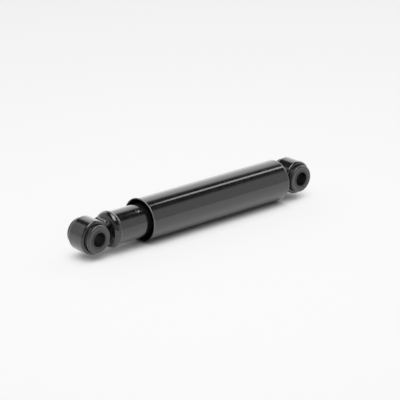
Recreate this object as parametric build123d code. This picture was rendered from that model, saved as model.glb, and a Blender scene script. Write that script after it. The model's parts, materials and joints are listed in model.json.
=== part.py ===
from build123d import *
import os
from math import asin, cos, pi, sin, sqrt

os.makedirs("parts", exist_ok=True)

# The shock absorber lies along X at its shortest length. The origin is the centre of the base
# eye, +X points to the rod eye, and both eyes' bores run along Y. All sizes are millimetres.

# Stroke and the gaps left at its two ends
stroke = 260.0
closed_gap = 4.0
head_gap = 3.0
cover_overlap = 41.0

# Eye rings, the same at both ends
ring_outer = 57.0
ring_wall = 5.0
ring_width = 36.0
ring_edge = 4.0
ring_lip_edge = 0.8

# Rubber bushes and their steel sleeves
bush_length = 55.0
eye_bore = 24.0
sleeve_wall = 3.0
sleeve_chamfer = 0.5
bond_gap = 0.05
rubber_recess = 0.4
neck_depth = 3.5
neck_lead = 2.0
neck_reach = 1.8
flare_length = 0.8
boss_inset = 0.3
boss_edge = 3.0

# Reservoir tube and its base cap
tube_outer = 56.0
tube_wall = 2.0
pip_diameter = 8.0
pip_depth = 1.2
pip_along = 45.5
pip_turn = 32.0
cap_wall = 2.0
cap_depth = 13.5
cap_corner = 9.0
cap_side = 1.5
cap_floor_depth = 10.5
cap_dish_radius = 14.0
cap_dish_depth = 6.0
cap_seat = 1.0
cap_weld_length = 5.0
cap_weld_rise = 0.8

# Welds at the eyes and at the dust cover
eye_weld_near = 5.0
eye_weld_far = 17.0
eye_weld_leg = 4.5
eye_weld_inset = 3.0
rod_weld_leg = 3.0
cover_weld_leg = 2.0
rod_weld_gap = 0.5

# Pressure tube
pressure_bore = 36.0
pressure_wall = 1.5

# Foot valve in the base
valve_skirt_overhang = 2.5
valve_skirt_length = 8.0
valve_spigot_length = 6.0
valve_recess_radius = 15.0
valve_recess_depth = 6.0
valve_slot_width = 8.0
valve_slot_depth = 4.0
valve_slot_count = 4
bleed_count = 6
bleed_diameter = 2.4
bleed_circle = 8.0
intake_count = 8
intake_diameter = 3.0
intake_circle = 12.5
bolt_diameter = 6.0
bolt_head_width = 10.0
bolt_head_height = 3.5
disc_thickness = 0.5
disc_count = 3
disc_margin = 1.2
rebound_margin = 0.6
disc_step = 3.0
intake_hub_wall = 3.0
intake_hub_length = 5.0
intake_flange_diameter = 24.0
intake_flange_thickness = 2.5
plate_thickness = 0.8
plate_margin = 1.5
return_margin = 0.75
plate_clearance = 0.35
plate_spring_gap = 0.1
spring_wire = 0.8
spring_turns = 2.5

# Piston and what is clamped to the rod beside it
rod_diameter = 18.0
spigot_diameter = 12.0
spigot_end = 1.5
piston_clearance = 0.3
piston_length = 20.0
piston_nut_width = 17.0
piston_nut_height = 8.0
rebound_disc_thickness = 1.0
rebound_count = 6
rebound_diameter = 2.6
rebound_circle = 9.5
return_count = 8
return_diameter = 3.0
return_circle = 13.2
check_hub_wall = 1.5
check_hub_length = 5.0
stop_washer_diameter = 28.0
stop_washer_thickness = 2.5
band_width = 8.0
band_depth = 1.4
band_tube_clearance = 0.05
band_groove_clearance = 0.1
collar_diameter = 26.0
collar_length = 4.0
bumper_diameter = 30.0
bumper_length = 9.0
bumper_edge = 2.0

# Rod guide, seals and retaining nut
guide_spigot_length = 6.0
guide_flange_length = 8.0
bush_wall = 1.5
running_clearance = 0.05
ring_section = 2.4
ring_groove_width = 3.2
drain_count = 4
drain_diameter = 3.0
drain_inset = 2.2
seal_length = 8.0
seal_outer = 34.0
seal_lip_length = 2.0
seal_relief = 1.2
seal_ramp = 1.0
nut_length = 8.0
nut_bore = 26.0
wiper_length = 6.0
wiper_lip = 1.5
nut_slot_width = 5.0
nut_slot_depth = 2.5
nut_slot_count = 4
nut_slot_turn = 45.0

# Dust cover
cover_outer = 70.0
cover_wall = 1.5
cover_corner = 4.5
cover_flare = 1.8
cover_flare_length = 4.0
cover_rim_edge = 0.4
cover_washer_diameter = 40.0
cover_washer_thickness = 4.0

# How far a cutting tool reaches past the surface it cuts
cut_margin = 1.0

# Radii that several pieces share
ring_radius = ring_outer / 2
ring_inner_radius = ring_radius - ring_wall
sleeve_radius = eye_bore / 2 + sleeve_wall
tube_radius = tube_outer / 2
tube_inner_radius = tube_radius - tube_wall
cap_radius = tube_radius + cap_wall
bore_radius = pressure_bore / 2
pressure_radius = bore_radius + pressure_wall
rod_radius = rod_diameter / 2
spigot_radius = spigot_diameter / 2
cover_radius = cover_outer / 2

# Places along X, stacked up from the base eye to the rod eye
cap_apex = ring_radius
cap_floor = cap_apex + cap_floor_depth
cap_shoulder = cap_apex + cap_depth
cap_rim = cap_shoulder + cap_side
tube_start = cap_floor + cap_seat
valve_shoulder = cap_floor + valve_skirt_length
valve_web = cap_floor + valve_recess_depth
valve_top = valve_shoulder + valve_spigot_length
intake_flange = valve_top + intake_hub_length
intake_end = intake_flange + intake_flange_thickness
spigot_start = intake_end + closed_gap
nut_start = spigot_start + spigot_end
rebound_start = nut_start + piston_nut_height
piston_start = rebound_start + disc_count * rebound_disc_thickness
piston_end = piston_start + piston_length
check_hub_end = piston_end + check_hub_length
rod_shoulder = check_hub_end + stop_washer_thickness
bumper_start = rod_shoulder + collar_length
bumper_end = bumper_start + bumper_length
guide_start = bumper_end + stroke
guide_shoulder = guide_start + guide_spigot_length
guide_end = guide_shoulder + guide_flange_length
seal_end = guide_end + seal_length
tube_end = seal_end + nut_length
washer_start = tube_end + head_gap
cover_floor = washer_start + cover_washer_thickness
cover_end = cover_floor + cover_wall
cover_start = tube_end - cover_overlap - stroke
rod_eye = cover_end + cover_weld_leg + rod_weld_gap + rod_weld_leg + ring_radius


def along(x0, x1, outer, inner=0.0):
    """A round bar or tube on the X axis, from x0 to x1."""
    up = (Align.CENTER, Align.CENTER, Align.MIN)
    body = Cylinder(outer, x1 - x0, align=up)
    if inner > 0:
        body = body - Cylinder(inner, x1 - x0, align=up)
    return Pos(x0, 0, 0) * Rot(0, 90, 0) * body


def across(x, width, outer, inner=0.0):
    """A round bar or tube along Y, centred on y = 0, through the point x on the X axis."""
    body = Cylinder(outer, width)
    if inner > 0:
        body = body - Cylinder(inner, width)
    return Pos(x, 0, 0) * Rot(-90, 0, 0) * body


def turned(*edges):
    """The closed outline of edges in the X and radius plane, turned about the X axis."""
    return revolve(make_face(Curve() + list(edges)), Axis.X)


def point(x, radius):
    return (x, radius, 0)


def outline(*points):
    """A turned solid with straight sides between its points, each an (x, radius) pair."""
    corners = [point(*p) for p in points]
    return revolve(make_face(Polyline(*corners, close=True)), Axis.X)


def holes(x0, x1, diameter, circle, count, turn=0.0):
    """Round holes along X, evenly spaced on a circle about the axis."""
    group = Part()
    for k in range(count):
        angle = turn + 2 * pi * k / count
        hole = along(x0, x1, diameter / 2)
        group += Pos(0, circle * cos(angle), circle * sin(angle)) * hole
    return group


def hexagon(x0, x1, width, bore):
    """A hexagon nut or head along X, with a round bore."""
    body = extrude(RegularPolygon(width / sqrt(3), 6), x1 - x0)
    body = Pos(x0, 0, 0) * Rot(0, 90, 0) * body
    if bore > 0:
        body = body - along(x0, x1, bore)
    return body


def eye_blank(x):
    """The ring's outer form, filled: a disc with well rounded rims."""
    disc = across(x, ring_width, ring_radius)
    return fillet(disc.edges().filter_by(GeomType.CIRCLE), ring_edge)


def eye_ring(x):
    ring = across(x, ring_width, ring_radius, ring_inner_radius)
    lips = ring.edges().filter_by(GeomType.CIRCLE).group_by(SortBy.RADIUS)[0]
    ring = fillet(lips, ring_lip_edge)
    rims = ring.edges().filter_by(GeomType.CIRCLE).group_by(SortBy.RADIUS)[-1]
    return fillet(rims, ring_edge)


def eye_sleeve(x):
    sleeve = across(x, bush_length, sleeve_radius, eye_bore / 2)
    rims = sleeve.edges().filter_by(GeomType.CIRCLE)
    return chamfer(rims, sleeve_chamfer)


def eye_bush(x):
    """The rubber: a barrel in the ring, then a neck and a flared boss at each end."""
    inner = sleeve_radius + bond_gap
    neck = ring_inner_radius - neck_depth
    boss = ring_inner_radius - boss_inset
    seat = ring_width / 2 - neck_lead
    throat = ring_width / 2
    flare = ring_width / 2 + neck_reach
    face = bush_length / 2 - rubber_recess
    half = [(inner, 0), (ring_inner_radius, 0), (ring_inner_radius, seat), (neck, throat),
            (neck, flare - flare_length), (boss, flare), (boss, face - boss_edge)]
    side = Polyline(*[(x + r, y, 0) for r, y in half])
    corner = RadiusArc((x + boss, face - boss_edge, 0), (x + boss - boss_edge, face, 0), -boss_edge)
    end = Polyline((x + boss - boss_edge, face, 0), (x + inner, face, 0), (x + inner, 0, 0))
    upper = revolve(make_face(Curve() + [side, corner, end]), Axis((x, 0, 0), (0, 1, 0)))
    return upper + mirror(upper, Plane.XZ)


def base_cap():
    """A pressed cup over the tube's end: a shallow dome that runs into a wide round corner, and
    inside it a flat ledge for the foot valve round a dished middle."""
    corner_centre = cap_radius - cap_corner
    dome_radius = (cap_depth ** 2 + corner_centre ** 2 - cap_corner ** 2) / (2 * (cap_depth - cap_corner))
    lean = asin(corner_centre / (dome_radius - cap_corner))
    meet = point(cap_shoulder - cap_corner * cos(lean), corner_centre + cap_corner * sin(lean))
    halfway = point(cap_apex + dome_radius * (1 - cos(lean / 2)), dome_radius * sin(lean / 2))
    dome = ThreePointArc(point(cap_apex, 0), halfway, meet)
    corner = RadiusArc(meet, point(cap_shoulder, cap_radius), cap_corner)
    side = Polyline(point(cap_shoulder, cap_radius), point(cap_rim, cap_radius), point(cap_rim, tube_radius),
                    point(tube_start, tube_radius), point(cap_floor, tube_radius - cap_seat),
                    point(cap_floor, cap_dish_radius))
    dish_radius = (cap_dish_radius ** 2 + cap_dish_depth ** 2) / (2 * cap_dish_depth)
    dish = RadiusArc(point(cap_floor, cap_dish_radius), point(cap_floor - cap_dish_depth, 0), -dish_radius)
    middle = Line(point(cap_floor - cap_dish_depth, 0), point(cap_apex, 0))
    return turned(dome, corner, side, dish, middle)


def cap_weld():
    """The bead that runs round the tube at the cap's rim."""
    crown = point(cap_rim + cap_weld_length / 3, cap_radius + cap_weld_rise)
    start = point(cap_rim, cap_radius)
    toe = point(cap_rim + cap_weld_length, tube_radius)
    root = point(cap_rim, tube_radius)
    return turned(ThreePointArc(start, crown, toe), Line(toe, root), Line(root, start))


def base_eye_weld(cap, ring_blank):
    """A bead above and one below, filling the wedge between the ring and the cap's dome."""
    x_near = sqrt(ring_radius ** 2 - eye_weld_near ** 2)
    x_far = sqrt(ring_radius ** 2 - eye_weld_far ** 2)
    x_top = cap_apex + cap_depth / 2
    back = cap_floor - cap_seat / 2
    top = eye_weld_far + eye_weld_leg
    start = (x_far, 0, eye_weld_far)
    middle = ((x_far + x_top) / 2 - eye_weld_leg / 4, 0, (eye_weld_far + top) / 2 + eye_weld_leg / 4)
    face = ThreePointArc(start, middle, (x_top, 0, top))
    rest = Polyline((x_top, 0, top), (back, 0, top), (back, 0, eye_weld_near),
                    (x_near, 0, eye_weld_near), start)
    half = ring_width / 2 - eye_weld_inset
    bead = extrude(make_face(Curve() + [face, rest]), half, dir=(0, 1, 0), both=True)
    dish = along(cap_floor - cap_dish_depth, cap_floor, cap_dish_radius)
    upper = bead - ring_blank - cap - dish
    lower = mirror(upper, Plane.XY)
    return Part() + [upper, lower]


def reservoir_tube():
    tube = along(tube_start, tube_end, tube_radius, tube_inner_radius)
    ball_radius = (pip_diameter ** 2 / 4 + pip_depth ** 2) / (2 * pip_depth)
    lift = tube_radius + ball_radius - pip_depth
    ball = Pos(cap_rim + pip_along, 0, lift) * Sphere(ball_radius)
    return tube - Rot(pip_turn, 0, 0) * ball


def valve_body():
    """The foot valve: a skirt that stands on the cap's floor and a spigot in the pressure tube."""
    skirt = pressure_radius + valve_skirt_overhang
    body = along(cap_floor, valve_shoulder, skirt) + along(valve_shoulder, valve_top, bore_radius)
    body -= along(cap_floor, valve_web, valve_recess_radius)
    floor_side = (Align.MIN, Align.MIN, Align.CENTER)
    slot = Box(valve_slot_depth, 2 * skirt, valve_slot_width, align=floor_side)
    for k in range(valve_slot_count):
        body -= Pos(cap_floor, 0, 0) * Rot(360 * k / valve_slot_count, 0, 0) * slot
    body -= along(valve_web, valve_top, bolt_diameter / 2)
    body -= holes(valve_web, valve_top, bleed_diameter, bleed_circle, bleed_count)
    body -= holes(valve_web, valve_top, intake_diameter, intake_circle, intake_count)
    return body


def disc_stack(x, direction, thickness, largest, bore):
    """Spring discs that lie on each other, each smaller than the one before it."""
    stack = []
    for k in range(disc_count):
        near = x + direction * k * thickness
        far = near + direction * thickness
        stack.append(along(min(near, far), max(near, far), largest - k * disc_step / 2, bore))
    return Part() + stack


def valve_plate(x, outer, inner, window, circle, count):
    """A ring plate that covers the outer ports and has a window over each inner one."""
    plate = along(x, x + plate_thickness, outer, inner)
    return plate - holes(x, x + plate_thickness, window, circle, count)


def plate_spring(x0, x1, radius):
    """A light spring of round wire between two faces."""
    first = x0 + plate_spring_gap + spring_wire / 2
    height = x1 - plate_spring_gap - spring_wire / 2 - first
    path = Helix(height / spring_turns, height, radius, center=(first, 0, 0), direction=(1, 0, 0))
    section = Plane(origin=path @ 0, z_dir=path % 0) * Circle(spring_wire / 2)
    return sweep(section, path=path, is_frenet=True)


def valve_bolt():
    head_end = valve_web - disc_count * disc_thickness
    head = hexagon(head_end - bolt_head_height, head_end, bolt_head_width, 0)
    return head + along(head_end, intake_end, bolt_diameter / 2)


def intake_stop():
    """The flanged nut that holds the foot valve together and limits the intake plate."""
    hub = along(valve_top, intake_flange, bolt_diameter / 2 + intake_hub_wall, bolt_diameter / 2)
    return hub + along(intake_flange, intake_end, intake_flange_diameter / 2, bolt_diameter / 2)


def piston_rod(ring_blank):
    rod = along(spigot_start, rod_shoulder, spigot_radius)
    rod += along(rod_shoulder, rod_eye - ring_radius / 2, rod_radius)
    return rod - ring_blank


def piston():
    outer = bore_radius - piston_clearance
    middle = (piston_start + piston_end) / 2
    body = along(piston_start, piston_end, outer, spigot_radius)
    half = band_width / 2
    body -= along(middle - half, middle + half, outer + cut_margin, outer - band_depth)
    body -= holes(piston_start, piston_end, rebound_diameter, rebound_circle, rebound_count)
    body -= holes(piston_start, piston_end, return_diameter, return_circle, return_count)
    return body


def piston_band():
    middle = (piston_start + piston_end) / 2
    half = band_width / 2 - band_groove_clearance
    outer = bore_radius - band_tube_clearance
    inner = bore_radius - piston_clearance - band_depth + band_groove_clearance
    return along(middle - half, middle + half, outer, inner)


def rebound_bumper():
    bumper = along(bumper_start, bumper_end, bumper_diameter / 2, rod_radius)
    rim = bumper.edges().filter_by(GeomType.CIRCLE).group_by(Axis.X)[-1].sort_by(SortBy.RADIUS)[-1]
    return fillet(rim, bumper_edge)


def rod_guide():
    guide = along(guide_start, guide_shoulder, bore_radius)
    guide += along(guide_shoulder, guide_end, tube_inner_radius)
    guide -= along(guide_start, guide_end, rod_radius + running_clearance + bush_wall)
    middle = (guide_shoulder + guide_end) / 2
    half = ring_groove_width / 2
    bottom = tube_inner_radius - ring_section
    guide -= along(middle - half, middle + half, tube_inner_radius + cut_margin, bottom)
    drain_circle = pressure_radius + drain_inset
    guide -= holes(guide_shoulder, guide_end, drain_diameter, drain_circle, drain_count)
    return guide


def guide_ring():
    """The round sealing ring in the guide's groove."""
    middle = (guide_shoulder + guide_end) / 2
    ring = Torus(tube_inner_radius - ring_section / 2, ring_section / 2)
    return Pos(middle, 0, 0) * Rot(0, 90, 0) * ring


def rod_seal():
    """The oil seal: a rubber block with a lip at each end that runs on the rod."""
    lip = rod_radius + running_clearance
    relief = lip + seal_relief
    return outline((guide_end, lip), (guide_end, seal_outer / 2), (seal_end, seal_outer / 2),
                   (seal_end, lip), (seal_end - seal_lip_length, lip),
                   (seal_end - seal_lip_length - seal_ramp, relief),
                   (guide_end + seal_lip_length + seal_ramp, relief), (guide_end + seal_lip_length, lip))


def retaining_nut():
    """The ring nut that closes the tube's end, with slots for a spanner."""
    nut = along(seal_end, tube_end, tube_inner_radius, rod_radius + running_clearance + wiper_lip)
    nut -= along(tube_end - wiper_length, tube_end, nut_bore / 2)
    face_side = (Align.MAX, Align.MIN, Align.CENTER)
    slot = Box(nut_slot_depth, 2 * tube_inner_radius, nut_slot_width, align=face_side)
    for k in range(nut_slot_count):
        nut -= Pos(tube_end, 0, 0) * Rot(nut_slot_turn + 360 * k / nut_slot_count, 0, 0) * slot
    return nut


def wiper():
    """The wiper that keeps dirt off the rod, with its lip standing out of the nut."""
    lip = rod_radius + running_clearance
    shelf = lip + wiper_lip
    start = tube_end - wiper_length
    return outline((start, shelf), (start, nut_bore / 2), (tube_end, nut_bore / 2),
                   (tube_end, shelf + wiper_lip), (tube_end + wiper_lip, shelf),
                   (tube_end + wiper_lip, lip), (tube_end - wiper_lip, lip))


def dust_cover():
    """A deep drawn cup over the tube, closed at the rod eye's end and flared a little at its mouth."""
    inside = cover_radius - cover_wall
    inner_corner = cover_corner - cover_wall
    flare_end = cover_start + cover_flare_length
    lip = cover_radius + cover_flare
    rim = Polyline(point(cover_start, inside + cover_flare), point(cover_start, lip - cover_rim_edge),
                   point(cover_start + cover_rim_edge, lip))
    outer_flare = TangentArc(point(flare_end, cover_radius), point(cover_start + cover_rim_edge, lip),
                             tangent=(-1, 0, 0))
    outer_side = Line(point(flare_end, cover_radius), point(cover_end - cover_corner, cover_radius))
    outer_corner = RadiusArc(point(cover_end - cover_corner, cover_radius),
                             point(cover_end, cover_radius - cover_corner), cover_corner)
    end_wall = Polyline(point(cover_end, cover_radius - cover_corner), point(cover_end, rod_radius),
                        point(cover_floor, rod_radius), point(cover_floor, inside - inner_corner))
    inner_arc = RadiusArc(point(cover_floor, inside - inner_corner),
                          point(cover_floor - inner_corner, inside), -inner_corner)
    inner_side = Line(point(cover_floor - inner_corner, inside), point(flare_end, inside))
    inner_flare = TangentArc(point(flare_end, inside), point(cover_start, inside + cover_flare),
                             tangent=(-1, 0, 0))
    return turned(rim, outer_flare, outer_side, outer_corner, end_wall, inner_arc, inner_side, inner_flare)


def ring_weld(x, leg, radius, direction):
    """A three-cornered bead round the rod, its leg against a flat face at x."""
    return outline((x, radius), (x, radius + leg), (x + direction * leg, radius))


def rod_eye_weld(ring_blank):
    """The bead between the rod's end and the eye ring, no wider than the ring."""
    face = rod_eye - ring_radius
    deep = rod_eye - sqrt(ring_radius ** 2 - (rod_radius + rod_weld_leg) ** 2)
    bead = outline((face - rod_weld_leg, rod_radius), (deep, rod_radius + rod_weld_leg),
                   (deep, rod_radius))
    width = Pos(face, 0, 0) * Box(2 * ring_outer, ring_width, ring_outer)
    return (bead & width) - ring_blank


def write(name, shape):
    solids = shape.solids()
    shape = solids[0] if len(solids) == 1 else Compound(children=list(solids))
    shape.label = name
    export_step(shape, f"parts/{name}.step")


base_blank = eye_blank(0)
rod_blank = eye_blank(rod_eye)
cap = base_cap()
bleed_cover = bleed_circle + bleed_diameter / 2 + disc_margin
intake_cover = intake_circle + intake_diameter / 2 + plate_margin
rebound_cover = rebound_circle + rebound_diameter / 2 + rebound_margin
return_cover = return_circle + return_diameter / 2 + return_margin
intake_hub = bolt_diameter / 2 + intake_hub_wall
check_hub = spigot_radius + check_hub_wall

parts = {
    "base_eye_ring": eye_ring(0),
    "base_eye_bush": eye_bush(0),
    "base_eye_sleeve": eye_sleeve(0),
    "base_eye_weld": base_eye_weld(cap, base_blank),
    "base_cap": cap,
    "base_cap_weld": cap_weld(),
    "reservoir_tube": reservoir_tube(),
    "pressure_tube": along(valve_shoulder, guide_shoulder, pressure_radius, bore_radius),
    "foot_valve_body": valve_body(),
    "foot_valve_discs": disc_stack(valve_web, -1, disc_thickness, bleed_cover, bolt_diameter / 2),
    "foot_valve_bolt": valve_bolt(),
    "intake_stop_nut": intake_stop(),
    "intake_plate": valve_plate(valve_top, intake_cover, intake_hub + plate_clearance,
                                bleed_diameter, bleed_circle, bleed_count),
    "intake_spring": plate_spring(valve_top + plate_thickness, intake_flange,
                                  bleed_circle + bleed_diameter / 2 + spring_wire),
    "piston_rod": piston_rod(rod_blank),
    "piston": piston(),
    "piston_band": piston_band(),
    "piston_nut": hexagon(nut_start, rebound_start, piston_nut_width, spigot_radius),
    "rebound_discs": disc_stack(piston_start, -1, rebound_disc_thickness, rebound_cover, spigot_radius),
    "check_hub": along(piston_end, check_hub_end, check_hub, spigot_radius),
    "check_plate": valve_plate(piston_end, return_cover, check_hub + plate_clearance,
                               rebound_diameter, rebound_circle, rebound_count),
    "check_spring": plate_spring(piston_end + plate_thickness, check_hub_end,
                                 rebound_circle + rebound_diameter / 2 + spring_wire),
    "stop_washer": along(check_hub_end, rod_shoulder, stop_washer_diameter / 2, spigot_radius),
    "rebound_collar": along(rod_shoulder, bumper_start, collar_diameter / 2, rod_radius),
    "rebound_bumper": rebound_bumper(),
    "rod_guide": rod_guide(),
    "guide_bush": along(guide_start, guide_end, rod_radius + running_clearance + bush_wall,
                        rod_radius + running_clearance),
    "guide_seal_ring": guide_ring(),
    "seal_carrier": along(guide_end, seal_end, tube_inner_radius, seal_outer / 2),
    "rod_seal": rod_seal(),
    "retaining_nut": retaining_nut(),
    "wiper": wiper(),
    "dust_cover": dust_cover(),
    "cover_washer": along(washer_start, cover_floor, cover_washer_diameter / 2, rod_radius),
    "cover_weld": ring_weld(cover_end, cover_weld_leg, rod_radius, 1),
    "rod_eye_ring": eye_ring(rod_eye),
    "rod_eye_bush": eye_bush(rod_eye),
    "rod_eye_sleeve": eye_sleeve(rod_eye),
    "rod_eye_weld": rod_eye_weld(rod_blank),
}

for name, shape in parts.items():
    write(name, shape)

print(f"eye to eye {rod_eye:.1f} mm closed and {rod_eye + stroke:.1f} mm open, {len(parts)} sub-parts")
print(f"dust cover from {cover_start:.1f} to {cover_end:.1f} mm")
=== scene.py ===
import bmesh
import bpy
import json
from math import atan2, cos, hypot, pi, radians, sin, sqrt
from mathutils import Matrix, Vector, noise


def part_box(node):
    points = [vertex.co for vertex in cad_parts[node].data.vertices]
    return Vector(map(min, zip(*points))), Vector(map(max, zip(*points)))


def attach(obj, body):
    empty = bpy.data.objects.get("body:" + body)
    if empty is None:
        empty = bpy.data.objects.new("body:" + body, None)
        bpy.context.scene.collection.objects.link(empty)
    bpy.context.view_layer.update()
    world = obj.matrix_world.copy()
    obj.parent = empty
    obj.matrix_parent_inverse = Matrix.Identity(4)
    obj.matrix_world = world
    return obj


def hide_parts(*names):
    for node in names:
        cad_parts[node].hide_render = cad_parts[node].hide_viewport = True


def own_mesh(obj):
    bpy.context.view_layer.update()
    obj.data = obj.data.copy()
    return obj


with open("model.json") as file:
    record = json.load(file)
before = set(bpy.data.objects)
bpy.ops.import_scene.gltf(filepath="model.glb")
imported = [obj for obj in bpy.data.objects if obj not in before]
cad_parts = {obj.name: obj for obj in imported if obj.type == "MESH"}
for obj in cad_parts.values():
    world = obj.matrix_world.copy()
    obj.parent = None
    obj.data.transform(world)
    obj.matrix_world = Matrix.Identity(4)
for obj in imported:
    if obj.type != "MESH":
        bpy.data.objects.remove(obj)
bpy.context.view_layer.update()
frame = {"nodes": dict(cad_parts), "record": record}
nodes = frame["nodes"]
scene = bpy.context.scene
mm = 0.001
nearby = 0.000001
print("frame loaded,", len(nodes), "nodes")


# sizes read from the frame

def middle(node):
    low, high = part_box(node)
    return (low + high) / 2


baseEye = middle("base_eye_ring")
rodEye = middle("rod_eye_ring")
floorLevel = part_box("dust_cover")[0].z


# shared shader groups

def newGroup(name, inputs, outputs):
    group = bpy.data.node_groups.new(name, "ShaderNodeTree")
    for label, value in inputs.items():
        kind = "NodeSocketColor" if isinstance(value, tuple) else "NodeSocketFloat"
        socket = group.interface.new_socket(name=label, in_out="INPUT", socket_type=kind)
        socket.default_value = value
    for label, kind in outputs.items():
        group.interface.new_socket(name=label, in_out="OUTPUT", socket_type=kind)
    return group, group.nodes.new("NodeGroupInput"), group.nodes.new("NodeGroupOutput")


def mathNode(tree, operation, first, second):
    node = tree.nodes.new("ShaderNodeMath")
    node.operation = operation
    for index, value in enumerate((first, second)):
        if isinstance(value, (int, float)):
            node.inputs[index].default_value = value
        else:
            tree.links.new(value, node.inputs[index])
    return node.outputs[0]


def remap(tree, value, fromLow, fromHigh, toLow=0.0, toHigh=1.0):
    node = tree.nodes.new("ShaderNodeMapRange")
    node.interpolation_type = "SMOOTHSTEP"
    tree.links.new(value, node.inputs["Value"])
    limits = {"From Min": fromLow, "From Max": fromHigh, "To Min": toLow, "To Max": toHigh}
    for label, number in limits.items():
        node.inputs[label].default_value = number
    return node.outputs["Result"]


def noiseAt(tree, vector, scale, detail=2.0, rough=0.5):
    node = tree.nodes.new("ShaderNodeTexNoise")
    tree.links.new(vector, node.inputs["Vector"])
    if isinstance(scale, (int, float)):
        node.inputs["Scale"].default_value = scale
    else:
        tree.links.new(scale, node.inputs["Scale"])
    node.inputs["Detail"].default_value = detail
    node.inputs["Roughness"].default_value = rough
    return node.outputs["Fac"]


def objectPoint(tree):
    return tree.nodes.new("ShaderNodeTexCoord").outputs["Object"]


def stretched(tree, vector, scale):
    node = tree.nodes.new("ShaderNodeMapping")
    node.inputs["Scale"].default_value = scale
    tree.links.new(vector, node.inputs["Vector"])
    return node.outputs["Vector"]


peelLook = {"detail": 2.0, "waveScale": 35.0, "mottleScale": 90.0}


def makeOrangePeel():
    group, entry, leave = newGroup("orangePeel", {"Scale": 600.0, "Waves": 1.0},
                                   {"Height": "NodeSocketFloat", "Mottle": "NodeSocketFloat"})
    point = objectPoint(group)
    peel = noiseAt(group, point, entry.outputs["Scale"], peelLook["detail"])
    waves = noiseAt(group, point, peelLook["waveScale"], 1.0)  # slow swell left by the spray gun
    swell = mathNode(group, "MULTIPLY", waves, entry.outputs["Waves"])
    group.links.new(mathNode(group, "ADD", peel, swell), leave.inputs["Height"])
    group.links.new(noiseAt(group, point, peelLook["mottleScale"], 4.0, 0.6), leave.inputs["Mottle"])
    return group


wearLook = {
    "lineStretch": (60.0, 900.0, 900.0), "lineRange": (0.62, 0.72),
    "patchScale": 25.0, "patchRange": (0.52, 0.66),
    "speckScale": 420.0, "speckRange": (0.10, 0.04), "fewScale": 140.0, "fewRange": (0.60, 0.66),
    "upRange": (0.1, 0.9),
}


def makeHandling():
    group, entry, leave = newGroup("handling", {"Amount": 0.5, "Length": 0.12},
                                   {"Scuffs": "NodeSocketFloat", "Dust": "NodeSocketFloat"})
    point = objectPoint(group)
    lines = noiseAt(group, stretched(group, point, wearLook["lineStretch"]), 1.0, 3.0, 0.6)
    where = noiseAt(group, point, wearLook["patchScale"], 2.0)
    thin = remap(group, lines, *wearLook["lineRange"])
    patch = remap(group, where, *wearLook["patchRange"])
    scuffs = mathNode(group, "MULTIPLY", mathNode(group, "MULTIPLY", thin, patch), entry.outputs["Amount"])
    group.links.new(scuffs, leave.inputs["Scuffs"])
    specks = group.nodes.new("ShaderNodeTexVoronoi")
    group.links.new(point, specks.inputs["Vector"])
    specks.inputs["Scale"].default_value = wearLook["speckScale"]
    near = remap(group, specks.outputs["Distance"], *wearLook["speckRange"])
    facing = group.nodes.new("ShaderNodeNewGeometry")
    split = group.nodes.new("ShaderNodeSeparateXYZ")
    group.links.new(facing.outputs["Normal"], split.inputs["Vector"])
    upward = remap(group, split.outputs["Z"], *wearLook["upRange"])
    few = remap(group, noiseAt(group, point, wearLook["fewScale"], 1.0), *wearLook["fewRange"])
    dust = mathNode(group, "MULTIPLY", mathNode(group, "MULTIPLY", near, few), upward)
    group.links.new(mathNode(group, "MULTIPLY", dust, entry.outputs["Amount"]), leave.inputs["Dust"])
    return group


mottleScales = {"toolMarks": 160.0, "grit": 220.0}


def makeToolMarks():
    group, entry, leave = newGroup("toolMarks", {"Pitch": 2500.0},
                                   {"Height": "NodeSocketFloat", "Mottle": "NodeSocketFloat"})
    point = objectPoint(group)
    split = group.nodes.new("ShaderNodeSeparateXYZ")
    group.links.new(point, split.inputs["Vector"])
    alongX = group.nodes.new("ShaderNodeCombineXYZ")
    pitch = mathNode(group, "MULTIPLY", split.outputs["X"], entry.outputs["Pitch"])
    group.links.new(pitch, alongX.inputs["X"])
    group.links.new(noiseAt(group, alongX.outputs["Vector"], 1.0, 3.0, 0.7), leave.inputs["Height"])
    mottle = noiseAt(group, point, mottleScales["toolMarks"], 4.0, 0.6)
    group.links.new(mottle, leave.inputs["Mottle"])
    return group


def makeGrit():
    group, entry, leave = newGroup("grit", {"Scale": 1500.0},
                                   {"Height": "NodeSocketFloat", "Mottle": "NodeSocketFloat"})
    point = objectPoint(group)
    group.links.new(noiseAt(group, point, entry.outputs["Scale"], 5.0, 0.65), leave.inputs["Height"])
    mottle = noiseAt(group, point, mottleScales["grit"], 3.0, 0.6)
    group.links.new(mottle, leave.inputs["Mottle"])
    return group


orangePeel = makeOrangePeel()
handling = makeHandling()
toolMarks = makeToolMarks()
grit = makeGrit()
print("shader groups built")


# materials

mottleRange = (0.3, 0.7)  # the middle of a noise, where most of its values lie
toneRange = (0.35, 0.65)
scuffRough = 0.25
plainIor = 1.5
dustOnPaint = (0.32, 0.31, 0.30)
dustOnRubber = (0.30, 0.29, 0.28)


def newMaterial(name, **sockets):
    material = bpy.data.materials.new(name)
    material.use_nodes = True
    shader = material.node_tree.nodes["Principled BSDF"]
    for label, value in sockets.items():
        shader.inputs[label.replace("_", " ")].default_value = value
    return material, material.node_tree, shader


def place(tree, group, **values):
    node = tree.nodes.new("ShaderNodeGroup")
    node.node_tree = group
    for label, value in values.items():
        node.inputs[label].default_value = value
    return node


def blendColours(tree, factor, first, second):
    node = tree.nodes.new("ShaderNodeMix")
    node.data_type = "RGBA"
    tree.links.new(factor, node.inputs["Factor"])
    for index, value in ((6, first), (7, second)):
        if isinstance(value, tuple):
            node.inputs[index].default_value = (*value, 1.0)
        else:
            tree.links.new(value, node.inputs[index])
    return node.outputs[2]


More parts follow.
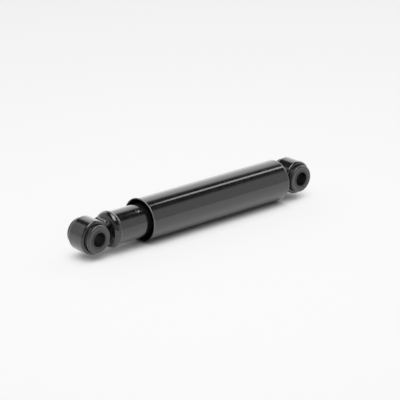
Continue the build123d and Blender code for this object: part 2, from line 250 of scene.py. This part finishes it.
def bump(tree, shader, height, distance):
    node = tree.nodes.new("ShaderNodeBump")
    node.inputs["Strength"].default_value = 1.0
    node.inputs["Distance"].default_value = distance
    tree.links.new(height, node.inputs["Height"])
    tree.links.new(node.outputs["Normal"], shader.inputs["Normal"])


def gloss(name, settings):
    material, tree, shader = newMaterial(name, IOR=plainIor, Coat_Weight=settings["coat"],
                                         Coat_Roughness=settings["coatRough"])
    peel = place(tree, orangePeel, Scale=settings["peelScale"], Waves=settings["waves"])
    marks = place(tree, handling, Amount=settings["wear"])
    low, high = settings["rough"]
    rough = remap(tree, peel.outputs["Mottle"], *mottleRange, low, high)
    rough = mathNode(tree, "ADD", rough, mathNode(tree, "MULTIPLY", marks.outputs["Scuffs"], scuffRough))
    tree.links.new(rough, shader.inputs["Roughness"])
    tone = remap(tree, peel.outputs["Mottle"], *toneRange)
    colour = blendColours(tree, tone, settings["dark"], settings["light"])
    colour = blendColours(tree, marks.outputs["Dust"], colour, dustOnPaint)
    tree.links.new(colour, shader.inputs["Base Color"])
    bump(tree, shader, peel.outputs["Height"], settings["peelHeight"])
    return material


glossPaint = gloss("glossPaint", {
    "dark": (0.0095, 0.0098, 0.0105), "light": (0.0125, 0.0128, 0.0135), "rough": (0.10, 0.16),
    "coat": 1.0, "coatRough": 0.08, "peelScale": 420.0, "waves": 1.5, "peelHeight": 0.000012, "wear": 0.5,
})
beadPaint = gloss("beadPaint", {
    "dark": (0.008, 0.0082, 0.0088), "light": (0.014, 0.0142, 0.015), "rough": (0.10, 0.18),
    "coat": 1.0, "coatRough": 0.06, "peelScale": 900.0, "waves": 1.0, "peelHeight": 0.00003, "wear": 0.4,
})


def satin(name, settings):
    material, tree, shader = newMaterial(name, IOR=settings["ior"], Coat_Weight=settings["coat"],
                                         Coat_Roughness=settings["coatRough"])
    grain = place(tree, grit, Scale=settings["grain"])
    marks = place(tree, handling, Amount=settings["wear"])
    low, high = settings["rough"]
    tree.links.new(remap(tree, grain.outputs["Mottle"], *mottleRange, low, high), shader.inputs["Roughness"])
    colour = blendColours(tree, grain.outputs["Mottle"], settings["dark"], settings["light"])
    colour = blendColours(tree, marks.outputs["Dust"], colour, dustOnRubber)
    tree.links.new(colour, shader.inputs["Base Color"])
    bump(tree, shader, grain.outputs["Height"], settings["depth"])
    return material


satinRubber = satin("satinRubber", {
    "dark": (0.027, 0.027, 0.0275), "light": (0.044, 0.044, 0.045), "rough": (0.32, 0.45), "ior": 1.55,
    "grain": 1800.0, "depth": 0.00002, "wear": 0.7, "coat": 0.7, "coatRough": 0.30,
})
paintedBore = satin("paintedBore", {
    "dark": (0.012, 0.012, 0.013), "light": (0.022, 0.022, 0.023), "rough": (0.30, 0.45), "ior": 1.5,
    "grain": 1200.0, "depth": 0.00002, "wear": 0.4, "coat": 0.5, "coatRough": 0.3,
})
sealRubber = satin("sealRubber", {
    "dark": (0.02, 0.02, 0.021), "light": (0.034, 0.034, 0.035), "rough": (0.30, 0.42), "ior": 1.52,
    "grain": 2200.0, "depth": 0.00001, "wear": 0.0, "coat": 0.0, "coatRough": 0.3,
})
slidePlastic = satin("slidePlastic", {
    "dark": (0.05, 0.046, 0.04), "light": (0.085, 0.078, 0.066), "rough": (0.35, 0.5), "ior": 1.45,
    "grain": 2600.0, "depth": 0.00001, "wear": 0.0, "coat": 0.0, "coatRough": 0.3,
})


def metal(name, settings):
    material, tree, shader = newMaterial(name, Metallic=1.0, IOR=plainIor)
    lines = place(tree, toolMarks, Pitch=settings["pitch"])
    low, high = settings["rough"]
    tree.links.new(remap(tree, lines.outputs["Mottle"], *mottleRange, low, high), shader.inputs["Roughness"])
    colour = blendColours(tree, lines.outputs["Mottle"], settings["dark"], settings["light"])
    tree.links.new(colour, shader.inputs["Base Color"])
    bump(tree, shader, lines.outputs["Height"], settings["depth"])
    return material


brightRod = metal("brightRod", {"dark": (0.62, 0.63, 0.64), "light": (0.74, 0.75, 0.76),
                                "rough": (0.06, 0.10), "pitch": 4000.0, "depth": 0.000002})
plainSteel = metal("plainSteel", {"dark": (0.36, 0.355, 0.35), "light": (0.50, 0.49, 0.48),
                                  "rough": (0.28, 0.42), "pitch": 2600.0, "depth": 0.00001})
springSteel = metal("springSteel", {"dark": (0.26, 0.27, 0.30), "light": (0.38, 0.39, 0.42),
                                    "rough": (0.20, 0.32), "pitch": 3200.0, "depth": 0.000004})
bearingBronze = metal("bearingBronze", {"dark": (0.46, 0.29, 0.13), "light": (0.60, 0.41, 0.20),
                                        "rough": (0.24, 0.36), "pitch": 3000.0, "depth": 0.000006})


def sintered(name, settings):
    material, tree, shader = newMaterial(name, Metallic=1.0, IOR=plainIor)
    grain = place(tree, grit, Scale=settings["grain"])
    low, high = settings["rough"]
    tree.links.new(remap(tree, grain.outputs["Mottle"], *mottleRange, low, high), shader.inputs["Roughness"])
    colour = blendColours(tree, grain.outputs["Height"], settings["dark"], settings["light"])
    tree.links.new(colour, shader.inputs["Base Color"])
    bump(tree, shader, grain.outputs["Height"], settings["depth"])
    return material


sinteredIron = sintered("sinteredIron", {"dark": (0.13, 0.13, 0.135), "light": (0.30, 0.295, 0.29),
                                         "rough": (0.42, 0.60), "grain": 2600.0, "depth": 0.00003})

finishes = {
    "gloss_paint": glossPaint, "weld_bead": beadPaint, "painted_bore": paintedBore,
    "satin_rubber": satinRubber, "seal_rubber": sealRubber, "slide_plastic": slidePlastic,
    "bright_rod": brightRod, "plain_steel": plainSteel, "spring_steel": springSteel,
    "bearing_bronze": bearingBronze, "sintered_iron": sinteredIron,
}
slotOf = {part["node"]: part["material_slot"] for part in frame["record"]["subparts"]}
for name, piece in nodes.items():
    finish = finishes[slotOf[name]]
    piece.data.materials.clear()
    piece.data.materials.append(finish)
print("materials placed on the frame's nodes")


# welds, moulded rubber and light springs, modelled over the plain solids of the frame

def sortByPlace(bm):
    # spin gives the same points in each run, but lists them in another order
    places = {vert: rank for rank, vert in enumerate(sorted(bm.verts, key=lambda vert: tuple(vert.co)))}
    faces = sorted(bm.faces, key=lambda face: sorted(places[vert] for vert in face.verts))
    order = {face: rank for rank, face in enumerate(faces)}
    bm.verts.sort(key=places.get)
    bm.faces.sort(key=order.get)


def newPiece(name, bm, body, slot, node):
    bmesh.ops.remove_doubles(bm, verts=bm.verts, dist=nearby)
    bmesh.ops.recalc_face_normals(bm, faces=bm.faces)
    sortByPlace(bm)
    mesh = bpy.data.meshes.new(name)
    bm.to_mesh(mesh)
    bm.free()
    mesh.shade_smooth()
    mesh.materials.append(finishes[slot])
    piece = bpy.data.objects.new(name, mesh)
    scene.collection.objects.link(piece)
    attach(piece, body)
    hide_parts(node)
    print(name, "has", len(mesh.polygons), "faces")
    return piece


def addOutline(bm, points):
    verts = [bm.verts.new(point) for point in points]
    return [bm.edges.new(pair) for pair in zip(verts, verts[1:] + verts[:1])]


def spinRound(bm, edges, centre, axis, steps):
    verts = list({vert for edge in edges for vert in edge.verts})
    bmesh.ops.spin(bm, geom=verts + edges, cent=centre, axis=axis, dvec=(0, 0, 0), angle=2 * pi,
                   steps=steps, use_merge=True, use_duplicate=False)


ripples = {"driftPitches": 4, "swellPitches": 6, "swellSeed": 5.0, "sharp": 0.55, "middle": 0.6,
           "edgeFade": 0.7}


def rippleHeight(travel, side, bead):
    # scales left by the arc: bowed crests across the seam, with uneven spacing and swell
    seed = bead["seed"]
    bow = bead["bow"] * (1 - side * side)
    drift = noise.noise(Vector((travel / bead["pitch"] / ripples["driftPitches"], seed, 0.0)))
    turn = (travel + bow) / bead["pitch"] + drift * bead["uneven"]
    scale = abs(sin(pi * turn)) ** ripples["sharp"] - ripples["middle"]
    along = travel / bead["pitch"] / ripples["swellPitches"]
    swell = noise.noise(Vector((along, side, seed + ripples["swellSeed"])))
    return bead["ripple"] * scale * (1 - ripples["edgeFade"] * side * side) + bead["swell"] * swell


def clamp(value, low, high):
    return max(low, min(high, value))


ringBead = {"rise": 0.25, "sink": 0.4, "spread": 5.5, "corner": 9.0, "shoulder": 1.5,
            "corners": 24, "steps": 720, "pitch": 3.9, "bow": 3.0, "uneven": 1.0,
            "ripple": 0.6, "rippleLeast": 0.0001, "swell": 0.4, "seed": 3.0}


def makeCapWeld():
    # the bead runs down over the cap's round corner on one side and onto the tube on the other
    low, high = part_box("base_cap_weld")
    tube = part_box("reservoir_tube")[1].z
    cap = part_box("base_cap")[1].z
    corner = ringBead["corner"] * mm
    shoulder = low.x - ringBead["shoulder"] * mm
    start, end = low.x - ringBead["spread"] * mm, high.x
    bm = bmesh.new()
    points = []
    for k in range(ringBead["corners"] + 1):
        share = k / ringBead["corners"]
        x = start + (end - start) * share
        under = cap - corner + sqrt(corner ** 2 - max(shoulder - x, 0.0) ** 2)
        under -= (cap - tube) * clamp((x - low.x) / (high.x - low.x), 0, 1)
        over = (ringBead["rise"] + ringBead["sink"]) * mm * sin(pi * share)
        points.append((x, 0.0, under - ringBead["sink"] * mm + over))
    edges = addOutline(bm, points)
    spinRound(bm, edges, (0, 0, 0), (1, 0, 0), ringBead["steps"])
    for vert in bm.verts:
        radius = hypot(vert.co.y, vert.co.z)
        share = clamp((vert.co.x - start) / (end - start), 0, 1)
        travel = atan2(vert.co.y, vert.co.z) * tube / mm
        fade = sqrt(sin(pi * share) + ringBead["rippleLeast"])
        lift = rippleHeight(travel, 2 * share - 1, ringBead) * mm * fade
        vert.co.y *= (radius + lift) / radius
        vert.co.z *= (radius + lift) / radius
    newPiece("baseCapBead", bm, "base", "weld_bead", "base_cap_weld")


eyeBead = {"around": 28, "step": 0.25, "wide": 8.2, "tall": 5.6,
           "round": 3.5, "narrowing": 0.25, "thinnest": 0.004,
           "pitch": 3.8, "bow": 2.4, "uneven": 0.8, "ripple": 1.0, "rippleFrom": 0.4, "swell": 0.6,
           "seeds": (1.0, 8.0)}


def makeEyeWeld():
    low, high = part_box("base_eye_weld")
    reach = high.y
    middleX, top = (low.x + high.x) / 2, high.z
    bm = bmesh.new()
    for way, seed in zip((1, -1), eyeBead["seeds"]):
        made = bmesh.ops.create_circle(bm, segments=eyeBead["around"], radius=1.0, cap_ends=False)["verts"]
        bmesh.ops.rotate(bm, verts=made, cent=(0, 0, 0), matrix=Matrix.Rotation(pi / 2, 3, "X"))
        steps = round(2 * reach / (eyeBead["step"] * mm))
        edges = list({edge for vert in made for edge in vert.link_edges})
        bmesh.ops.translate(bm, verts=made, vec=(0, -reach, 0))
        before = set(bm.verts) - set(made)
        bmesh.ops.spin(bm, geom=made + edges, cent=(0, 0, 0), axis=(0, 1, 0), dvec=(0, 2 * reach / steps, 0),
                       angle=0, steps=steps, use_merge=False, use_duplicate=False)
        bead = dict(eyeBead, seed=seed)
        centre = top - eyeBead["tall"] * mm
        for vert in set(bm.verts) - before:
            x, y, z = vert.co
            left = min(reach - y, reach + y) / mm
            taper = sqrt(clamp(1 - (1 - clamp(left / bead["round"], 0, 1)) ** 2, bead["thinnest"], 1))
            ripple = rippleHeight(y / mm, clamp(x, -1, 1), bead) / bead["tall"]
            lift = 1 + ripple * clamp(z + bead["rippleFrom"], 0, 1) * taper
            vert.co.x = middleX + x * bead["wide"] * mm * (1 - bead["narrowing"] * (1 - taper)) * lift
            vert.co.z = way * (centre + z * bead["tall"] * mm * taper * lift)
        bmesh.ops.holes_fill(bm, edges=[edge for edge in bm.edges if edge.is_boundary], sides=0)
    newPiece("baseEyeBead", bm, "base", "weld_bead", "base_eye_weld")


rodBeads = {"corners": 8, "steps": 300, "crown": 0.18, "sink": 0.2,
            "pitch": 3.2, "bow": 0.9, "uneven": 0.7, "ripple": 0.4, "swell": 0.25}


def makeRodBead(name, node, seed):
    low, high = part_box(node)
    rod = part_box("piston_rod")[1].z
    foot = high.z
    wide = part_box("rod_eye_ring")[1].y if node == "rod_eye_weld" else foot
    tall = min(foot, wide) - rod
    face = low.x if node == "cover_weld" else high.x
    tip = high.x if node == "cover_weld" else low.x
    bead = dict(rodBeads, seed=seed)
    bm = bmesh.new()
    root = rod - rodBeads["sink"] * mm
    points = [(face, 0.0, root)]
    for k in range(bead["corners"] + 1):
        share = k / bead["corners"]
        bulge = rodBeads["crown"] * sin(pi * share) * tall
        points.append((face + (tip - face) * share + (tip - face) * bulge / tall, 0.0,
                       rod + (foot - rod) * (1 - share) + bulge))
    points.append((tip, 0.0, root))
    edges = addOutline(bm, points)
    spinRound(bm, edges, (0, 0, 0), (1, 0, 0), bead["steps"])
    for vert in bm.verts:
        radius = hypot(vert.co.y, vert.co.z)
        side = clamp(2 * (vert.co.x - face) / (tip - face) - 1, -1, 1)
        travel = atan2(vert.co.y, vert.co.z) * foot / mm
        lift = rippleHeight(travel, side, bead) * mm * clamp((radius - rod) / mm, 0, 1)
        vert.co.y *= (radius + lift) / radius
        vert.co.z *= (radius + lift) / radius
    newPiece(name, bm, "rod_assembly", "weld_bead", node)


rubber = {"steps": 160, "inset": 0.3, "seat": 2.0, "neck": 3.5, "slope": 1.0, "bossAt": 0.20,
          "faceRound": (3.0, 6), "backRound": (0.9, 4), "flash": 0.16, "flashAt": 0.5, "flashHalf": 0.25,
          "dish": 0.35, "dishIn": 1.6, "dishOut": 4.0, "dishSlope": 0.6, "boreGap": 0.05}


def makeRubber(name, body, node, ringNode, sleeveNode):
    low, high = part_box(node)
    sleeveLow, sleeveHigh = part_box(sleeveNode)
    centre = (low + high) / 2
    inner = (sleeveHigh.x - sleeveLow.x) / 2
    outer = (high.x - low.x) / 2
    face, seat = high.y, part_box(ringNode)[1].y
    boss = outer - rubber["inset"] * mm
    neck = outer - rubber["neck"] * mm
    back = seat + (face - seat) * rubber["bossAt"]
    flashAt = back + (face - back) * rubber["flashAt"]
    flashHalf = rubber["flashHalf"] * mm
    floor = face - rubber["dish"] * mm
    dishOut, dishIn = boss - rubber["dishOut"] * mm, inner + rubber["dishIn"] * mm
    slope = rubber["dishSlope"] * mm
    half = [(outer, seat - rubber["seat"] * mm), (neck, seat), (neck, back - rubber["slope"] * mm),
            (boss, back), (boss, flashAt - flashHalf), (boss + rubber["flash"] * mm, flashAt),
            (boss, flashAt + flashHalf), (boss, face), (dishOut, face), (dishOut - slope, floor),
            (dishIn + slope, floor), (dishIn, face), (inner + rubber["boreGap"] * mm, face)]
    points = [(centre.x + r, y, 0.0) for r, y in half] + [(centre.x + r, -y, 0.0) for r, y in reversed(half)]
    bm = bmesh.new()
    edges = addOutline(bm, points)
    spinRound(bm, edges, (centre.x, 0, 0), (0, 1, 0), rubber["steps"])

    def loopEdges(radius, y):
        def onLoop(vert):
            across = hypot(vert.co.x - centre.x, vert.co.z)
            return abs(abs(vert.co.y) - y) < nearby and abs(across - radius) < nearby

        return [edge for edge in bm.edges if all(onLoop(vert) for vert in edge.verts)]

    for y, (size, parts) in ((face, rubber["faceRound"]), (back, rubber["backRound"])):
        bmesh.ops.bevel(bm, geom=loopEdges(boss, y), offset=size * mm, offset_type="OFFSET", segments=parts,
                        profile=0.5, affect="EDGES", material=-1, clamp_overlap=True)
    newPiece(name, bm, body, "satin_rubber", node)


lightSpring = {"wire": 0.8, "turns": 2.5, "sides": 12, "steps": 150, "gap": 0.1, "lift": 1.0}


def makeSpring(name, node, body):
    # a light valve spring, squashed by the plate that lifts against it
    low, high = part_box(node)
    wire, gap, lift = (lightSpring[key] * mm for key in ("wire", "gap", "lift"))
    first, last = low.x + wire / 2, high.x - wire / 2
    radius = high.z - wire / 2
    bm = bmesh.new()
    made = bmesh.ops.create_circle(bm, segments=lightSpring["sides"], radius=wire / 2, cap_ends=True)["verts"]
    bmesh.ops.rotate(bm, verts=made, cent=(0, 0, 0), matrix=Matrix.Rotation(pi / 2, 3, "X"))
    bmesh.ops.translate(bm, verts=made, vec=(first, 0, radius))
    steps = lightSpring["steps"]
    edges = list({edge for vert in made for edge in vert.link_edges})
    bmesh.ops.spin(bm, geom=made + edges + list(bm.faces), cent=(0, 0, 0), axis=(1, 0, 0),
                   dvec=((last - first) / steps, 0, 0), angle=2 * pi * lightSpring["turns"],
                   steps=steps, use_merge=False, use_duplicate=False)
    bmesh.ops.holes_fill(bm, edges=[edge for edge in bm.edges if edge.is_boundary], sides=0)
    piece = newPiece(name, bm, body, "spring_steel", node)
    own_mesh(piece)


makeSpring("intakeCoil", "intake_spring", "base")
makeSpring("checkCoil", "check_spring", "rod_assembly")
makeCapWeld()
makeEyeWeld()
makeRodBead("rodEyeBead", "rod_eye_weld", 5.0)
makeRodBead("coverBead", "cover_weld", 11.0)
makeRubber("baseEyeRubber", "base", "base_eye_bush", "base_eye_ring", "base_eye_sleeve")
makeRubber("rodEyeRubber", "rod_assembly", "rod_eye_bush", "rod_eye_ring", "rod_eye_sleeve")
print("springs, welds and rubber modelled")


# floor and light

studio = {
    "floorSize": 9.0, "floorColour": (0.93, 0.93, 0.93), "floorRough": 0.9, "floorIor": 1.3,
    # the floor's white glow, and the painted shadow that ambient occlusion cuts into it near the object
    "lift": 0.7, "paintedShadowReach": 0.11, "paintedShadowRange": (0.12, 0.66), "paintedShadowSamples": 8,
    "skyTop": 0.03, "bandBack": 1.25, "bandFront": 0.62, "bandLeft": 0.53, "bandEdge": (0.61, 0.73),
    "frontToBack": (-0.5, 0.5), "leftToRight": (-0.4, 0.3), "edgeTilt": 0.09,
    "edgeSharp": 3.0, "sharpOver": (-0.1, 0.35),
    "edgeDrop": 0.085, "dropOver": (-0.25, 0.3), "dropEnds": (0.35, 0.55),
    "key": {"place": (0.05, -0.15, 2.0), "size": (1.0, 2.0), "power": 28.0},
    "strip": {"place": (2.54, -0.16, 1.6), "size": (0.34, 1.9), "power": 5.6},
}


def makeFloor():
    bm = bmesh.new()
    bmesh.ops.create_grid(bm, x_segments=1, y_segments=1, size=studio["floorSize"] / 2)
    centre = (baseEye + rodEye) / 2
    bmesh.ops.translate(bm, verts=bm.verts, vec=(centre.x, centre.y, floorLevel))
    mesh = bpy.data.meshes.new("studioFloor")
    bm.to_mesh(mesh)
    bm.free()
    floor = bpy.data.objects.new("studioFloor", mesh)
    scene.collection.objects.link(floor)
    material, tree, shader = newMaterial("floorWhite", Roughness=studio["floorRough"],
                                         IOR=studio["floorIor"])
    shader.inputs["Specular IOR Level"].default_value = 0.0
    shader.inputs["Base Color"].default_value = (*studio["floorColour"], 1.0)
    # to the camera and in reflections the floor is partly plain white glow, which ambient occlusion fades out
    # near the object: a painted contact shadow over the floor's own lit shadow
    paintedShadowAo = tree.nodes.new("ShaderNodeAmbientOcclusion")
    paintedShadowAo.samples = studio["paintedShadowSamples"]
    paintedShadowAo.inputs["Distance"].default_value = studio["paintedShadowReach"]
    low, high = studio["paintedShadowRange"]
    glow = tree.nodes.new("ShaderNodeEmission")
    tree.links.new(remap(tree, paintedShadowAo.outputs["AO"], low, high), glow.inputs["Strength"])
    mix = tree.nodes.new("ShaderNodeMixShader")
    path = tree.nodes.new("ShaderNodeLightPath").outputs
    seen = mathNode(tree, "MAXIMUM", path["Is Camera Ray"], path["Is Glossy Ray"])
    tree.links.new(mathNode(tree, "MULTIPLY", seen, studio["lift"]), mix.inputs["Fac"])
    tree.links.new(shader.outputs["BSDF"], mix.inputs[1])
    tree.links.new(glow.outputs["Emission"], mix.inputs[2])
    tree.links.new(mix.outputs["Shader"], tree.nodes["Material Output"].inputs["Surface"])
    mesh.materials.append(material)


def areaLight(name, settings, target):
    data = bpy.data.lights.new(name, "AREA")
    data.shape = "RECTANGLE"
    data.size, data.size_y = settings["size"]
    data.energy = settings["power"]
    lamp = bpy.data.objects.new(name, data)
    scene.collection.objects.link(lamp)
    place = Vector(settings["place"])
    lamp.location = place
    lamp.rotation_euler = (Vector(target) - place).to_track_quat("-Z", "Y").to_euler()


def makeWorld():
    # a light wall all round, dark overhead; its upper edge tilts, and dips where the eye ring reflects it
    world = bpy.data.worlds.new("studioWorld")
    scene.world = world
    world.use_nodes = True
    tree = world.node_tree
    shine = tree.nodes["Background"]
    split = tree.nodes.new("ShaderNodeSeparateXYZ")
    tree.links.new(tree.nodes.new("ShaderNodeTexCoord").outputs["Generated"], split.inputs["Vector"])
    low, high = studio["bandEdge"]
    side = remap(tree, split.outputs["Y"], *studio["frontToBack"], studio["bandFront"], studio["bandBack"])
    left = remap(tree, split.outputs["X"], *studio["leftToRight"], studio["bandLeft"], 1.0)
    tilt = mathNode(tree, "MULTIPLY", split.outputs["Y"], studio["edgeTilt"])
    drop = remap(tree, split.outputs["X"], *studio["dropOver"], 0.0, studio["edgeDrop"])
    ends = remap(tree, split.outputs["X"], *studio["dropEnds"], 1.0, 0.0)
    drop = mathNode(tree, "MULTIPLY", drop, ends)
    above = mathNode(tree, "SUBTRACT", mathNode(tree, "SUBTRACT", split.outputs["Z"], tilt), low)
    above = mathNode(tree, "ADD", above, drop)
    sharp = remap(tree, split.outputs["X"], *studio["sharpOver"], studio["edgeSharp"], 1.0)
    band = remap(tree, mathNode(tree, "MULTIPLY", above, sharp), 0.0, high - low, 1.0, 0.0)
    wall = mathNode(tree, "MULTIPLY", mathNode(tree, "MULTIPLY", side, left), band)
    level = mathNode(tree, "ADD", wall, studio["skyTop"])
    tree.links.new(level, shine.inputs["Strength"])
    shine.inputs["Color"].default_value = (1.0, 1.0, 1.0, 1.0)
    plain = tree.nodes.new("ShaderNodeBackground")
    plain.inputs["Color"].default_value = (1.0, 1.0, 1.0, 1.0)
    mix = tree.nodes.new("ShaderNodeMixShader")
    path = tree.nodes.new("ShaderNodeLightPath")
    tree.links.new(path.outputs["Is Camera Ray"], mix.inputs["Fac"])
    tree.links.new(shine.outputs["Background"], mix.inputs[1])
    tree.links.new(plain.outputs["Background"], mix.inputs[2])
    tree.links.new(mix.outputs["Shader"], tree.nodes["World Output"].inputs["Surface"])


makeFloor()
makeWorld()
centre = (baseEye + rodEye) / 2
areaLight("keySoftbox", studio["key"], centre)
areaLight("overheadStrip", studio["strip"], centre)
scene.view_settings.view_transform = "Standard"
print("studio lit")


# camera, at the photograph's viewing angle

view = {
    "azimuth": -42.877, "elevation": 20.069, "roll": 1.104, "distance": 3.6818, "focalPixels": 2228.65,
    "imagePixels": 400, "sensor": 36.0, "aside": 0.0110, "above": 0.0066, "clipEnd": 50.0,
}


def makeCamera():
    azimuth, elevation, roll = (radians(view[key]) for key in ("azimuth", "elevation", "roll"))
    back = Vector((sin(azimuth) * cos(elevation), -cos(azimuth) * cos(elevation), sin(elevation)))
    level = Vector((cos(azimuth), sin(azimuth), 0.0))
    upright = back.cross(level)
    right = level * cos(roll) + upright * sin(roll)
    up = upright * cos(roll) - level * sin(roll)
    place = centre + right * view["aside"] + up * view["above"] + back * view["distance"]
    data = bpy.data.cameras.new("camera")
    data.sensor_width = view["sensor"]
    data.lens = view["focalPixels"] / view["imagePixels"] * view["sensor"]
    data.clip_end = view["clipEnd"]
    camera = bpy.data.objects.new("camera", data)
    axes = Matrix((right, up, back)).transposed().to_4x4()
    camera.matrix_world = Matrix.Translation(place) @ axes
    scene.collection.objects.link(camera)
    scene.camera = camera


makeCamera()
print("camera set")
